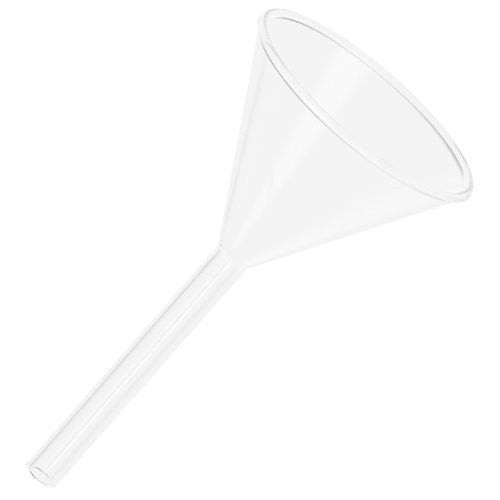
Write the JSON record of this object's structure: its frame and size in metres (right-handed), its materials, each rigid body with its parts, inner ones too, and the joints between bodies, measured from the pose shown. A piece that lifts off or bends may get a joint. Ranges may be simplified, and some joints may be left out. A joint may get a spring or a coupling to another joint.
{
  "type": "laboratory funnel",
  "caption": "Clear glass laboratory funnel: a straight-sided cone with a beaded rim, sealed through a smooth bend to a long plain stem with a fire-polished end.",
  "frame": {"origin": "on the axis, at the top of the straight stem, where the neck's seal begins", "axes": "+Z along the axis from the stem towards the mouth; X and Y are any two directions square to it, because the funnel is a body of revolution"},
  "size_m": [0.075, 0.075, 0.1413],
  "materials": {
    "clear_glass": "clear colourless borosilicate glass, fire-polished and glossy"
  },
  "bodies": {
    "root": {"rim_bead": "clear_glass", "cone_bowl": "clear_glass", "neck_seal": "clear_glass", "stem_tube": "clear_glass", "stem_tip": "clear_glass"}
  },
  "joints": []
}
